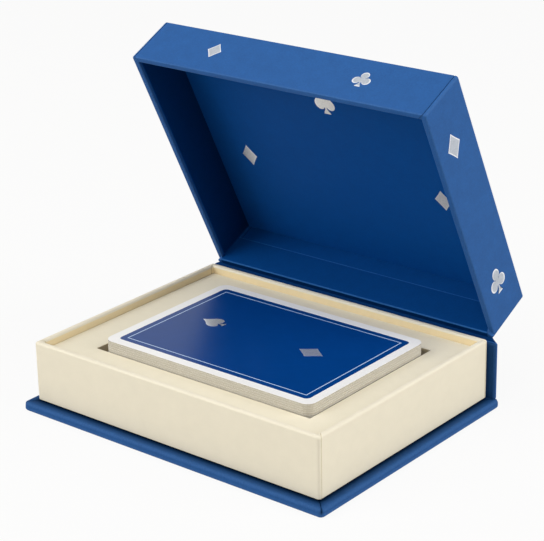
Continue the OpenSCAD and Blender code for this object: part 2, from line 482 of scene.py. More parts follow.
def shade(colour_value, factor):
    """A linear colour made lighter or darker."""
    return (*(min(1.0, c * factor) for c in colour_value[:3]), 1.0)


def tones(colour_value, dark, light):
    """Values for a colour mix: this colour made darker, and made lighter."""
    return {MIX_A: shade(colour_value, dark), MIX_B: shade(colour_value, light)}


# Paper fibres are some 0.03 mm wide. They are drawn as 0.6 mm flecks, the finest that show from a step away
FIBRE = 0.6 * MM
FIBRE_HEIGHT = 0.03 * MM
# Uneven pulp and glue show as soft clouds a few millimetres wide
CLOUD = 4 * MM
# How far the clouds and the flecks change the tone of a strongly mottled paper
CLOUD_TONE, FIBRE_TONE = 0.12, 0.25
# Uncoated paper scatters nearly all light, and its roughness changes a little from fibre to fibre
PAPER_ROUGHNESS, ROUGHNESS_SPREAD = 0.64, 0.06


def wrap_paper(tree, base, rubbed_tone, seam_tone, mottle, gloss):
    """Dyed uncoated paper glued over board: matt, mottled, paler along rubbed edges, dark and dull in its
    seams and where shade is painted.
    """
    place = node(tree, "ShaderNodeTexCoord").outputs["Object"]
    fibre = node(tree, "ShaderNodeTexNoise", values={"Scale": 1 / FIBRE, "Detail": 3.0, "Roughness": 0.6},
                 links={"Vector": place}).outputs[0]
    cloud = node(tree, "ShaderNodeTexNoise", values={"Scale": 1 / CLOUD, "Detail": 2.0},
                 links={"Vector": place})
    clouded = node(tree, "ShaderNodeMix", COLOUR_MIX,
                   tones(base, 1 - CLOUD_TONE * mottle, 1 + CLOUD_TONE * mottle), {0: cloud.outputs[0]})
    flecked = node(tree, "ShaderNodeMix", OVERLAY_MIX, {0: FIBRE_TONE * mottle},
                   {MIX_A: clouded.outputs[MIXED], MIX_B: fibre})
    edge = node(tree, "ShaderNodeAttribute", {"attribute_name": "edge"})
    rubbed = node(tree, "ShaderNodeMath", {"operation": "MULTIPLY"}, links={0: edge.outputs["Fac"], 1: fibre})
    paled = node(tree, "ShaderNodeMix", COLOUR_MIX, {MIX_B: rubbed_tone},
                 {0: rubbed.outputs[0], MIX_A: flecked.outputs[MIXED]})
    # The seam value holds both the seam lines and painted shade
    seam = node(tree, "ShaderNodeAttribute", {"attribute_name": "seam"}).outputs["Fac"]
    lined = node(tree, "ShaderNodeMix", COLOUR_MIX, {MIX_B: seam_tone},
                 {0: seam, MIX_A: paled.outputs[MIXED]})
    roughest, smoothest = PAPER_ROUGHNESS + ROUGHNESS_SPREAD, PAPER_ROUGHNESS - ROUGHNESS_SPREAD
    rough = node(tree, "ShaderNodeMapRange", values={"To Min": smoothest, "To Max": roughest},
                 links={"Value": fibre})
    bump = node(tree, "ShaderNodeBump", values={"Strength": 0.22, "Distance": FIBRE_HEIGHT},
                links={"Height": fibre})
    # Seams and painted shade lose their gloss, so the painted shade reads darker
    shine = node(tree, "ShaderNodeMapRange", values={"To Min": gloss, "To Max": 0.0}, links={"Value": seam})
    return node(tree, "ShaderNodeBsdfPrincipled", values={"IOR": 1.45}, links={
        "Base Color": lined.outputs[MIXED],
        "Roughness": rough.outputs[0],
        "Normal": bump.outputs[0],
        "Specular IOR Level": shine.outputs[0],
    })


def blue_wrap(wraps):
    """Blue wrapping paper."""
    base, rubbed, seam = tuple(wraps.blue), tuple(wraps.blue_rubbed), tuple(wraps.blue_seam_and_shade)
    return material("Blue_uncoated_wrap_paper",
                    lambda tree: wrap_paper(tree, base, rubbed, seam, mottle=1.0, gloss=0.2))


# Lining where the deepest shade is painted, and cream paper along a rubbed edge, as shares of their own tones
LINING_SHADE_TONE, CREAM_RUBBED_TONE = 0.12, 1.05


def lining_paper(wraps):
    """Deep blue lining paper, smoother and duller than the wrap."""
    base, rubbed = tuple(wraps.lining), tuple(wraps.lining_rubbed)
    # The seam colour is also the painted shade inside the lid and in the hinge gap
    seam = shade(base, LINING_SHADE_TONE)
    return material("Deep_blue_lining_paper",
                    lambda tree: wrap_paper(tree, base, rubbed, seam, mottle=0.7, gloss=0.12))


def cream_wrap(wraps):
    """Cream wrapping paper, nearly even in tone."""
    base, rubbed, seam = tuple(wraps.cream), tuple(wraps.cream_rubbed), tuple(wraps.cream_seam)
    return material("Cream_uncoated_wrap_paper",
                    lambda tree: wrap_paper(tree, base, rubbed, seam, mottle=0.25, gloss=0.2))


def plain_cream(name, tone, seam):
    """Cream paper inside the tray, with little wear."""
    rubbed = shade(tone, CREAM_RUBBED_TONE)
    return material(name, lambda tree: wrap_paper(tree, tone, rubbed, seam, mottle=0.25, gloss=0.2))


# Specks of pulp in greyboard are about this wide and high, and this much darker or lighter than the board
SPECK = 0.6 * MM
SPECK_HEIGHT = 0.05 * MM
SPECK_TONES = (0.75, 1.2)


def grey_board(name, board):
    """Bare greyboard of recycled pulp: dull, with dark and pale specks."""

    def build(tree):
        place = node(tree, "ShaderNodeTexCoord").outputs["Object"]
        speck = node(tree, "ShaderNodeTexNoise", values={"Scale": 1 / SPECK, "Detail": 4.0},
                     links={"Vector": place}).outputs[0]
        tone = node(tree, "ShaderNodeMix", COLOUR_MIX, tones(board, *SPECK_TONES), {0: speck})
        bump = node(tree, "ShaderNodeBump", values={"Strength": 0.4, "Distance": SPECK_HEIGHT},
                    links={"Height": speck})
        return node(tree, "ShaderNodeBsdfPrincipled", values={"Roughness": 0.85, "IOR": 1.45},
                    links={"Base Color": tone.outputs[MIXED], "Normal": bump.outputs[0]})

    return material(name, build)


# A linen finish presses threads into the coating. The real pitch is about 0.25 mm, and twice that shows
LINEN = 0.5 * MM
LINEN_HEIGHT = 0.02 * MM
# A wave texture of scale s has a period of about this length over s
WAVE_PERIOD = 0.314
# How far the tone of the coating, and that of the print, changes from cloud to cloud
STOCK_TONES, PRINT_TONES = (0.97, 1.03), (0.92, 1.08)


def linen_height(tree, place):
    """Height of a linen finish: fine waves along x and along y, added together."""
    scale = {"Scale": WAVE_PERIOD / LINEN}
    along_x, along_y = (node(tree, "ShaderNodeTexWave", {"bands_direction": axis}, scale,
                             {"Vector": place}).outputs["Fac"] for axis in "XY")
    return node(tree, "ShaderNodeMath", {"operation": "ADD"}, links={0: along_x, 1: along_y}).outputs[0]


def card_face(name, base, spread, pressed, finish):
    """One side of a card: clouds between two tones of its colour, under a linen finish of this strength."""

    def build(tree):
        place = node(tree, "ShaderNodeTexCoord").outputs["Object"]
        cloud = node(tree, "ShaderNodeTexNoise", values={"Scale": 1 / CLOUD, "Detail": 2.0},
                     links={"Vector": place})
        tone = node(tree, "ShaderNodeMix", COLOUR_MIX, tones(base, *spread), {0: cloud.outputs[0]})
        bump = node(tree, "ShaderNodeBump", values={"Strength": pressed, "Distance": LINEN_HEIGHT},
                    links={"Height": linen_height(tree, place)})
        return node(tree, "ShaderNodeBsdfPrincipled", values=finish,
                    links={"Base Color": tone.outputs[MIXED], "Normal": bump.outputs[0]})

    return material(name, build)


def coated_stock(stock):
    """White card stock, clay coated and calendered: smooth and faintly glossy."""
    finish = {"Roughness": 0.38, "IOR": 1.5}
    return card_face("Coated_card_stock", stock, STOCK_TONES, pressed=0.06, finish=finish)


def varnished_print(name, ink):
    """Offset print under a varnish: deep colour with a soft gloss over the linen finish."""
    finish = {"Roughness": 0.3, "IOR": 1.45, "Specular IOR Level": 0.2}
    return card_face(name, ink, PRINT_TONES, pressed=0.08, finish=finish)


# Cut fibres along the deck's sides show as short faint flecks that lie along the cards
CUT_FLECK = np.array([3.0, 3.0, 0.3]) * MM
CUT_FLECK_TONE = 0.06
# How far the tone changes from card to card
CUT_TONES = (0.98, 1.02)


def cut_edges(cut, low, pitch):
    """Cut paper edges of stacked cards: flecked with fibres, each card a little off the next one's tone.

    A card's number is its height above the lowest one over the pitch, rounded down.
    """

    def build(tree):
        place = node(tree, "ShaderNodeTexCoord").outputs["Object"]
        height = node(tree, "ShaderNodeSeparateXYZ", links={0: place}).outputs["Z"]
        level = node(tree, "ShaderNodeMath", {"operation": "SUBTRACT"}, {1: low}, {0: height})
        cards_up = node(tree, "ShaderNodeMath", {"operation": "DIVIDE"}, {1: pitch}, {0: level.outputs[0]})
        card = node(tree, "ShaderNodeMath", {"operation": "FLOOR"}, links={0: cards_up.outputs[0]})
        pick = node(tree, "ShaderNodeTexWhiteNoise", {"noise_dimensions": "1D"}, links={"W": card.outputs[0]})
        tone = node(tree, "ShaderNodeMix", COLOUR_MIX, tones(cut, *CUT_TONES), {0: pick.outputs["Value"]})
        stretched = node(tree, "ShaderNodeMapping", values={"Scale": tuple(1 / CUT_FLECK)},
                         links={"Vector": place})
        fleck = node(tree, "ShaderNodeTexNoise", values={"Scale": 1.0, "Detail": 2.0},
                     links={"Vector": stretched.outputs[0]})
        flecked = node(tree, "ShaderNodeMix", OVERLAY_MIX, {0: CUT_FLECK_TONE},
                       {MIX_A: tone.outputs[MIXED], MIX_B: fleck.outputs[0]})
        return node(tree, "ShaderNodeBsdfPrincipled", values={"Roughness": 0.75, "IOR": 1.45},
                    links={"Base Color": flecked.outputs[MIXED]})

    return material("Cut_card_edges", build)


# Foil follows the fibres of the paper under it: how far its tone, roughness and height change with them
FOIL_TONES = (0.78, 1.2)
FOIL_SMOOTHEST, FOIL_ROUGHEST = 0.28, 0.42
FOIL_HEIGHT = 0.02 * MM


def silver_foil(name, foil, foil_rim):
    """Hot-stamped silver foil on uneven paper: a soft grey shine with fine specks, and a pale pressed rim."""

    def build(tree):
        place = node(tree, "ShaderNodeTexCoord").outputs["Object"]
        grain = node(tree, "ShaderNodeTexNoise", values={"Scale": 1 / FIBRE, "Detail": 2.0},
                     links={"Vector": place}).outputs[0]
        specked = node(tree, "ShaderNodeMix", COLOUR_MIX, tones(foil, *FOIL_TONES), {0: grain})
        rim = node(tree, "ShaderNodeAttribute", {"attribute_name": "edge"})
        tone = node(tree, "ShaderNodeMix", COLOUR_MIX, {MIX_B: foil_rim},
                    {0: rim.outputs["Fac"], MIX_A: specked.outputs[MIXED]})
        rough = node(tree, "ShaderNodeMapRange", values={"To Min": FOIL_SMOOTHEST, "To Max": FOIL_ROUGHEST},
                     links={"Value": grain})
        bump = node(tree, "ShaderNodeBump", values={"Strength": 0.12, "Distance": FOIL_HEIGHT},
                    links={"Height": grain})
        return node(tree, "ShaderNodeBsdfPrincipled", values={"Metallic": 0.8}, links={
            "Base Color": tone.outputs[MIXED],
            "Roughness": rough.outputs[0],
            "Normal": bump.outputs[0],
        })

    return material(name, build)


# Pieces

# Painted shade: the base's paper is darkened over this width towards the tray's foot, up to this share
FOOT_SHADE_WIDTH = 4.6 * MM
FOOT_SHADE = 0.95


class BOXED_DECK_OT_base_board(bpy.types.Operator):
    """Base board wrapped in blue paper, with mitred corners on its top"""

    bl_idname = "boxed_deck.base_board"
    bl_label = "Base board"

    def execute(self, context):
        wraps = context.scene.boxed_deck_wraps
        low, high = corners("base_board")
        # The wrap runs on over the back edge as the paper of the spine
        high[1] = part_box("hinge_paper")[1].y
        plan = (*plan_of(low, high), wraps.base_corner)
        e = wraps.base_edge
        # The top is drawn in to below the tray, so that the mitres run out of sight
        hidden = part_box("tray_floor")[0].x - low[0]
        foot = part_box("tray_left_wall")[0].x - low[0]
        # The lower arc ends a step short of where the upper one starts
        short = -90 / BEND_STEPS
        below = Rows(*plan, [flat(hidden, low[2], 0, -1), bend(-90, short, e, e, low[2] + e)], groove=0)
        ledge = np.concatenate([
            bend(0, 90, e, e, high[2] - e),
            flat(foot, high[2], 0, 1),
            flat(hidden, high[2], 0, 1),
        ])
        # Painted shade on the ledge, darkest at the tray's foot
        soil = FOOT_SHADE * np.clip(1 - (foot - ledge[:, 0]) / FOOT_SHADE_WIDTH, 0, 1)
        # The corners stay round up to the tray, so that the mitre shows on the ledge too
        radii = np.maximum(wraps.base_corner - ledge[:, 0], wraps.tray_corner)
        above = Rows(*plan, [ledge], radii=radii, soil=soil)
        surface = carried(below, above, seams=corner_seams(), depth=wraps.seam_depth)
        piece("base_board_wrapped", [surface], [blue_wrap(wraps)], "box",
              ["base_board"])
        return {"FINISHED"}


# Painted shade: the spine's paper is darkened for the gap behind the tray. Its back is spared most of that
SPINE_SHADE, SPINE_SPARED = 0.55, 0.85


class BOXED_DECK_OT_spine(bpy.types.Operator):
    """Spine board wrapped in blue paper, with the lower half of the hinge paper on its back"""

    bl_idname = "boxed_deck.spine"
    bl_label = "Spine"

    def execute(self, context):
        wraps = context.scene.boxed_deck_wraps
        low, high = corners("spine_board", "hinge_paper")
        e = wraps.spine_edge
        # The board carries painted shade, its back spared most of it
        board = Rows(*plan_of(low, high), e, upright(low[2], high[2], e), soil=SPINE_SHADE)
        surface = carried(board, spared=SPINE_SPARED * back_corners())
        piece("spine_wrapped", [surface], [blue_wrap(wraps)], "box",
              ["spine_board", "hinge_paper"])
        return {"FINISHED"}


class BOXED_DECK_OT_tray(bpy.types.Operator):
    """Tray whose walls and floor share one cream wrap, with a round rim and seams beside its corners"""

    bl_idname = "boxed_deck.tray"
    bl_label = "Tray"

    def execute(self, context):
        wraps = context.scene.boxed_deck_wraps
        low, high = corners("tray_floor", *TRAY_WALLS)
        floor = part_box("tray_floor")[1].z
        left_low, left_high = corners("tray_left_wall")
        wall = left_high[0] - left_low[0]
        rim = wraps.tray_rim
        plan = (*plan_of(low, high), wraps.tray_corner)
        turned_in = bend(90, 180, rim, wall - rim, high[2] - rim)
        foot = wraps.tray_foot
        # The walls end above the base, and the floor board stands back between them
        wall_foot = left_low[2]
        outside = Rows(*plan, [
            flat(wall, low[2], 1, 0),
            flat(wall, wall_foot, 0, -1),
            bend(-90, 0, foot, foot, wall_foot + foot),
            bend(0, 90, rim, rim, high[2] - rim),
            turned_in[:-1],
        ])
        inside = Rows(*plan, [turned_in[-1:], flat(wall, floor, -1, 0)], material=1)
        surface = carried(outside, inside, seam=wraps.tray_corner + SEAM_HALF_WIDTH,
                          seams=side_seams(RIGHT, LEFT), depth=wraps.seam_depth)
        # The inner side's cream has warm bounce light painted into it
        cream_with_painted_bounce = plain_cream("Warm_cream_paper", tuple(wraps.tray_inside), tuple(wraps.inside_seam))
        piece("tray_wrapped", [surface], [cream_wrap(wraps), cream_with_painted_bounce], "box",
              ["tray_floor", *TRAY_WALLS])
        return {"FINISHED"}


class BOXED_DECK_OT_insert(bpy.types.Operator):
    """Cream platform with its risers, whose cut board shows in the well, and the bare pad under the deck"""

    bl_idname = "boxed_deck.insert"
    bl_label = "Insert"

    def execute(self, context):
        wraps = context.scene.boxed_deck_wraps
        low, high = corners("insert_platform")
        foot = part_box("riser_front")[0].z
        riser_low, riser_high = corners("riser_left")
        riser = riser_high[0] - riser_low[0]
        well_middle, risers_half = plan_of(*corners(*RISERS))
        e = wraps.insert_edge
        well = well_middle, risers_half - riser, e
        outer = Rows(*plan_of(low, high), e, upright(low[2], high[2], e))
        turned_down = bend(90, 180, e, -e, high[2] - e)
        well_edge = Rows(*well, [turned_down[:-1]])
        well_sides = Rows(*well, [
            turned_down[-1:],
            flat(0, foot, -1, 0),
            flat(-riser, foot, 1, 0),
            flat(-riser, low[2], 1, 0),
        ], material=1)
        finishes = [
            plain_cream("Platform_cream_paper", tuple(wraps.platform), tuple(wraps.inside_seam)),
            grey_board("Cut_greyboard", tuple(wraps.well)),
        ]
        piece("insert_wrapped", [carried(outer, well_edge, well_sides, cyclic=True)], finishes,
              "box", ["insert_platform", *RISERS])

        low, high = corners("deck_pad")
        pad = Rows(*plan_of(low, high), e, slab(low[2], high[2], e))
        piece("deck_pad_board", [carried(pad)], [grey_board("Recycled_greyboard", tuple(wraps.board))], "box",
              ["deck_pad"])
        return {"FINISHED"}


# Painted shade: the lining of the lid's walls is darkened from the rim to the panel, and the sheet on the
# panel over this width towards the walls. The back wall, which lies open to the light, is spared this share
# of it
RIM_SHADE, DEEP_SHADE, SHEET_SHADE = 0.55, 0.78, 0.18
SHEET_SHADE_WIDTH = 12 * MM
BACK_SPARED = 0.62


class BOXED_DECK_OT_lid(bpy.types.Operator):
    """Lid wrapped in blue paper outside and over its rim, and lined inside, with a sheet on its panel"""

    bl_idname = "boxed_deck.lid"
    bl_label = "Lid"

    def execute(self, context):
        wraps = context.scene.boxed_deck_wraps
        low, high = shut_corners("lid_panel", "lid_front_wall")
        # The hinge paper covers the back wall, and its outer side lies in line with the pin
        high[1] = PIN[1]
        under_panel = shut_corners("lid_panel")[0][2]
        left_low, left_high = shut_corners("lid_left_wall")
        wall = left_high[0] - left_low[0]
        middle, half = plan_of(low, high)
        e, rim, corner = wraps.lid_edge, wraps.lid_rim, wraps.lid_corner
        plan = middle, half, corner
        seam = corner + SEAM_HALF_WIDTH
        # The back wall reaches down behind the tray
        longer = low[2] - shut_corners("lid_back_wall")[0][2]
        turn_in = low[2] + wraps.lid_turn_in
        # The inside carries painted shade, darker towards the panel than at the rim
        inside = Rows(*plan, [
            flat(wall, under_panel, -1, 0),
            flat(wall, turn_in + rim, -1, 0),
        ], material=1, soil=[DEEP_SHADE, RIM_SHADE])
        round_rim = Rows(*plan, [
            flat(wall, turn_in, -1, 0),
            bend(180, 270, rim, wall - rim, low[2] + rim),
            bend(270, 360, rim, rim, low[2] + rim),
        ], sinks=1)
        outside = Rows(*plan, [bend(0, 90, e, e, high[2] - e)])
        # The seams run out on the flat panel, over the same width as its round edge
        panel = Rows(*plan, [flat(2 * e, high[2], 0, 1)], groove=0)
        surface = carried(inside, round_rim, outside, panel, seam=seam, seams=side_seams(FRONT, BACK),
                          depth=wraps.seam_depth, dip=longer * back_side(), spared=BACK_SPARED * back_side())
        piece("lid_wrapped", [surface], [blue_wrap(wraps), lining_paper(wraps)], "lid",
              ["lid_panel", *LID_WALLS], turned=True)

        low, high = shut_corners("lid_lining")
        e = min(wraps.sheet_edge, (high[2] - low[2]) / 2)
        # The sheet's edge towards the walls carries painted shade, its middle none
        clear = Rows(middle, half - wall, e, [flat(SHEET_SHADE_WIDTH, low[2], 0, -1)])
        shaded = Rows(middle, half - wall, e, slab(low[2], high[2], e), soil=SHEET_SHADE)
        sheet = carried(clear, shaded, seam=seam, spared=back_side())
        piece("lid_lining_sheet", [sheet], [lining_paper(wraps)], "lid",
              ["lid_lining"], turned=True)
        return {"FINISHED"}


# How far the hinge paper is drawn along the spine and along the lid, and how far it stands out of their wraps
STRIP_REACH = 1.6 * MM
STRIP_PROUD = 0.04 * MM
# A strip of lining covers the hinge inside: its thickness, how round it folds over the rim of the lid's back
# wall, how far it goes up that wall, and the width of the rubbed line along its fold and its upper edge
LINING_FOLD_T = 0.12 * MM
FOLD_ROUND = 0.15 * MM
LINING_UP = 12.4 * MM
RUBBED = 0.4 * MM
# Painted shade: how far the papers are darkened in the narrow gap at the hinge, and on the wall above it
GAP_SHADE, WALL_SHADE = 0.61, 0.34


def paper_strip(middle, half, reach, shaded, edge=0.0):
    """Sheet of paper: a middle line in y and z, set off to both sides by half the paper, carried along x.

    Reach is how far it goes to either side in x. The right side of the line has the first material. The left
    side has the second, and carries painted shade by shaded. Reach, shaded and edge are each one value, or
    one for each point of the line.
    """
    along = np.gradient(middle, axis=0)
    out = np.column_stack([along[:, 1], -along[:, 0]]) / np.linalg.norm(along, axis=1)[:, None]
    profile = np.concatenate([middle + half * out, (middle - half * out)[::-1]])
    reach, shaded, edge = (np.broadcast_to(v, len(middle)) for v in (reach, shaded, edge))
    ends = np.outer([-1, 1], np.concatenate([reach, reach[::-1]]))
    rings = np.concatenate([ends[..., None], np.broadcast_to(profile, (2, *profile.shape))], -1)
    sides = np.repeat([0, 1], len(middle))
    rubbed = np.concatenate([edge, edge[::-1]])
    dark = np.concatenate([0 * shaded, shaded[::-1]])
    return lofted(rings, *(np.broadcast_to(v, ends.shape) for v in (sides, rubbed, dark)))


class BOXED_DECK_OT_hinge_strip(bpy.types.Operator):
    """Paper that bends between the spine and the lid, and the lining folded over the rim of the back wall"""

    bl_idname = "boxed_deck.hinge_strip"
    bl_label = "Hinge strip"

    def execute(self, context):
        wraps = context.scene.boxed_deck_wraps
        self.hinge(wraps)
        self.lining(wraps)
        return {"FINISHED"}

    def hinge(self, wraps):
        """The middle runs up the spine's back, round a quadratic curve, then along the open lid's back."""
        paper_low, paper_high = corners("hinge_paper")
        half = (paper_high[1] - paper_low[1]) / 2
        up_lid = np.array([math.sin(LID_OPEN), math.cos(LID_OPEN)])
        into_lid = np.array([-up_lid[1], up_lid[0]])
        spine_y = paper_high[1] - half + STRIP_PROUD
        spine_end = np.array([spine_y, paper_high[2] - wraps.spine_edge / 2])
        on_lid = PIN[1:] + (half - STRIP_PROUD) * into_lid
        pull = on_lid - (on_lid[0] - spine_y) / up_lid[0] * up_lid
        lid_start = on_lid + wraps.lid_rim * up_lid
        middle = np.concatenate([
            [spine_end - [0, STRIP_REACH]],
            quad_curve(spine_end, pull, lid_start),
            [lid_start + STRIP_REACH * up_lid],
        ])
        # The paper narrows from the spine to the lid, and stops where their corners begin to turn
        on_spine = corners("spine_board")[1][0] - wraps.spine_edge / 2
        across_lid = shut_corners("lid_back_wall")[1][0] - wraps.lid_corner / 2
        reach = np.linspace(on_spine, across_lid, len(middle))
        # The strip's inner side carries painted shade for the gap at the hinge
        piece("hinge_strip", [paper_strip(middle, half, reach, GAP_SHADE)],
              [blue_wrap(wraps), lining_paper(wraps)], None, ["hinge_fold"],
              bends=[(0, *spine_end), (0, *lid_start)])

    def lining(self, wraps):
        """The middle runs along the rim from the pin, round a quadratic curve, then up the wall's inner side.

        It is paler, as rubbed paper is, round the fold and along its upper edge.
        """
        low, high = shut_corners("lid_back_wall")
        side = shut_corners("lid_right_wall")[1][0]
        wall = high[1] - low[1]
        half = LINING_FOLD_T / 2
        rim, inner = low[2] - half, PIN[1] - wall - half
        fold = quad_curve((inner + FOLD_ROUND, rim), (inner, rim), (inner, rim + FOLD_ROUND))
        top = rim + LINING_UP
        middle = np.concatenate([
            [[PIN[1] - half, rim], fold[0] + [RUBBED, 0]],
            fold,
            [fold[-1] + [0, RUBBED], [inner, top - RUBBED], [inner, top]],
        ])
        rubbed = np.concatenate([[0, 0], np.ones(len(fold)), [0, 0, 1]])
        # Painted shade on the rim in the hinge gap and on the wall above the fold
        shaded = np.concatenate([[GAP_SHADE, GAP_SHADE], np.zeros(len(fold)), [WALL_SHADE, WALL_SHADE, 0]])
        strip = paper_strip(middle, half, side - wall, shaded, rubbed)
        piece("hinge_lining", [strip], [lining_paper(wraps)] * 2, "lid", turned=True)


# Each card strays in a direction turned by the golden angle from the last, so that no pattern shows
STRAY_TURN = math.radians(137.5)
# Width of the broken edge left by the cutter, as a share of the card's thickness
CUT_BEVEL_SHARE = 0.04


def card_surface(cards, middle, half, low, thick):
    """One card, back up: rows round its edge, then the border, the print, the fine line and the centre."""
    e = CUT_BEVEL_SHARE * thick
    corner, border, line = cards.corner, cards.border, cards.border + cards.line_inset
    top = low + thick
    insets = [e, 0, 0, e, border, line, line + cards.line_width]
    heights = [low, low + e, top - e, top, top, top, top]
    outs = [0, 1, 1, 0, 0, 0, 0]
    ups = [-1, 0, 0, 1, 1, 1, 1]
    radii = [corner - e, corner, corner, corner - e, cards.panel_corner, TIGHT, TIGHT]
    stock, blue, cut, white = range(4)
    rows = Rows(middle, half, corner, [np.column_stack([insets, heights, outs, ups])],
                material=[stock, cut, stock, stock, blue, white, blue], radii=radii)
    return carried(rows)


class BOXED_DECK_OT_cards(bpy.types.Operator):
    """The cards of the deck in packets, and the top card, all back up"""

    bl_idname = "boxed_deck.cards"
    bl_label = "Cards"

    def execute(self, context):
        cards = context.scene.boxed_deck_cards
        low, high = corners("top_card", *PACKETS)
        card_low, card_high = corners("top_card")
        thick = card_high[2] - card_low[2]
        pitch = card_high[2] - corners(*PACKETS)[1][2]
        half = plan_of(card_low, card_high)[1]
        middle = plan_of(low, high)[0]
        finishes = [
            coated_stock(tuple(cards.stock)),
            varnished_print("Varnished_blue_print", tuple(cards.print_blue)),
            cut_edges(tuple(cards.cut_edge), low[2], pitch),
            varnished_print("Varnished_white_line", tuple(cards.line_white)),
        ]
        for name in (*PACKETS, "top_card"):
            node_low, node_high = corners(name)
            first = round((node_low[2] - low[2]) / pitch)
            count = round((node_high[2] - node_low[2]) / pitch)
            order = first + np.arange(count)
            turn = order * STRAY_TURN
            places = middle + cards.stray * np.column_stack([np.sin(turn), np.cos(turn)])
            surfaces = [card_surface(cards, place, half, low[2] + i * pitch, thick)
                        for i, place in zip(order, places)]
            body = "top_card" if name == "top_card" else "deck"
            piece(name + "_printed", surfaces, finishes, body, [name])
        return {"FINISHED"}


# Suit marks

def arc(x, y, radius, first, last, steps=12):
    """Points on a circle, from one direction to another in degrees."""
    turn = np.radians(np.linspace(first, last, steps + 1))
    return np.column_stack([x + radius * np.cos(turn), y + radius * np.sin(turn)])


def mirrored(right):
    """Closed outline, counter-clockwise: the right half from bottom to top, then its mirror image down."""
    left = right[::-1] * [-1, 1]
    return np.concatenate([right, left])


def spade():
    """Spade in a unit square: a flared stem, a round lobe, and a side that curves up to the point."""
    stem = quad_curve((0.17, -0.5), (0.05, -0.42), (0.035, -0.2))
    lobe = arc(0.245, -0.085, 0.235, -125, 42)
    side = quad_curve((0.36, 0.14), (0.12, 0.3), (0.01, 0.5))
    return mirrored(np.concatenate([stem, lobe, side]))


def club():
    """Club in a unit square: a flared stem and three round leaves with notches between them."""
    stem = quad_curve((0.16, -0.5), (0.05, -0.42), (0.04, -0.17))
    leaf = arc(0.275, -0.095, 0.225, -155, 152, 18)
    crown = arc(0, 0.28, 0.22, -62, 88)
    return mirrored(np.concatenate([stem, leaf, crown]))


def diamond():
    """Diamond in a unit square, with faintly hollow sides."""
    lower = quad_curve((0.005, -0.5), (0.235, -0.235), (0.5, -0.005))
    upper = quad_curve((0.5, 0.005), (0.235, 0.235), (0.005, 0.5))
    return mirrored(np.concatenate([lower, upper]))


# Rings of a mark from its sunk foot to its flat top: how far its outline is drawn in, how high it stands as a
# share of the foil's lift, and 1 on the pale rim
MARK_RINGS = np.array([(1, -1, 1), (1, 0.6, 1), (0.97, 1, 1), (0.82, 1, 0)])


def mark_surface(shape, origin, across, upward, foil, centre, size, lift):
    """A suit's outline laid on a face as a thin plate: rings from its sunk foot up its edge and in on top."""
    outward = np.cross(across, upward)
    drawn, raised, rim = MARK_RINGS.T
    flat_rings = (np.array(centre) + drawn[:, None, None] * shape * np.array(size)) * MM
    rings = origin + flat_rings @ np.stack([across, upward]) + lift * raised[:, None, None] * outward
    return lofted(rings, np.full(len(rings), foil), np.outer(rim, np.ones(len(shape))))


class BOXED_DECK_OT_foil_marks(bpy.types.Operator):
    """Silver suit marks on the lid's front, side and lining, and on the top card"""

    bl_idname = "boxed_deck.foil_marks"
    bl_label = "Foil marks"

    def execute(self, context):
        cards = context.scene.boxed_deck_cards
        low, high = shut_corners("lid_panel", "lid_front_wall")
        lining = shut_corners("lid_lining")[0][2]
        card_low, card_high = corners("top_card")
        deck_x, deck_y = plan_of(card_low, card_high)[0]
        # Faces: a point on each, the direction across a mark, the mark's own upward direction, and its foil
        dull, bright = range(2)
        front = (np.array([0, low[1], low[2]]), X, Z, dull)
        right = (np.array([high[0], PIN[1], low[2]]), Z, -Y, dull)
        inside = (np.array([0, PIN[1], lining]), X, -Y, bright)
        card = (np.array([deck_x, deck_y, card_high[2]]), Y, -X, bright)
        # Centre and size of each mark on its face, in millimetres
        marks = {
            "lid": [
                (diamond(), front, (-31.6, 10.4), (5.8, 7.1)),
                (club(), front, (30.7, 10.2), (6.9, 6.9)),
                (diamond(), right, (8.4, 79.1), (6.9, 10.1)),
                (club(), right, (9.4, 18.0), (8.5, 10.1)),
                (spade(), inside, (2.6, 77.0), (8.6, 10.1)),
                (diamond(), inside, (-43.3, 42.4), (6.6, 9.7)),
                (diamond(), inside, (41.2, 42.0), (6.8, 9.0)),
            ],
            "top_card": [
                (spade(), card, (2.0, 24.1), (7.3, 9.5)),
                (diamond(), card, (1.4, -19.1), (7.4, 9.9)),
            ],
        }
        rim = tuple(cards.foil_rim)
        finishes = [
            silver_foil("Silver_hot_foil", tuple(cards.foil), rim),
            silver_foil("Bright_silver_hot_foil", tuple(cards.bright_foil), rim),
        ]
        for body, group in marks.items():
            surfaces = [mark_surface(shape, *face, centre, size, cards.foil_lift)
                        for shape, face, centre, size in group]
            piece(body + "_foil_marks", surfaces, finishes, body, turned=body == "lid")
        return {"FINISHED"}


# Stage

def white_to_camera(tree, shader, share):
    """The shader mixed with plain white for rays from the camera, reflections and glass."""
    path = node(tree, "ShaderNodeLightPath")
    seen = path.outputs["Is Camera Ray"]
    for ray in ("Is Glossy Ray", "Is Transmission Ray"):
        seen = node(tree, "ShaderNodeMath", {"operation": "MAXIMUM"},
                    links={0: seen, 1: path.outputs[ray]}).outputs[0]
    factor = node(tree, "ShaderNodeMath", {"operation": "MULTIPLY"}, {1: share}, {0: seen})
    white = node(tree, "ShaderNodeEmission", values={"Color": (1, 1, 1, 1), "Strength": 1.0})
    return node(tree, "ShaderNodeMixShader",
                links={0: factor.outputs[0], 1: shader.outputs[0], 2: white.outputs[0]})


def placed(x_axis, y_axis, z_axis, place):
    """World matrix of a camera or lamp from its three axes and its place."""
    return Matrix(np.vstack([np.column_stack([x_axis, y_axis, z_axis, place]), [0, 0, 0, 1]]).tolist())


# The floor's half width, and how far it lies under the base
FLOOR_HALF = 2.0
FLOOR_GAP = 0.05 * MM
# Share of plain white in what the camera sees of the floor, so that a faint shadow stays
FLOOR_WHITE = 0.92
# Nothing nearer to the camera than this is drawn
NEAREST = 10 * MM
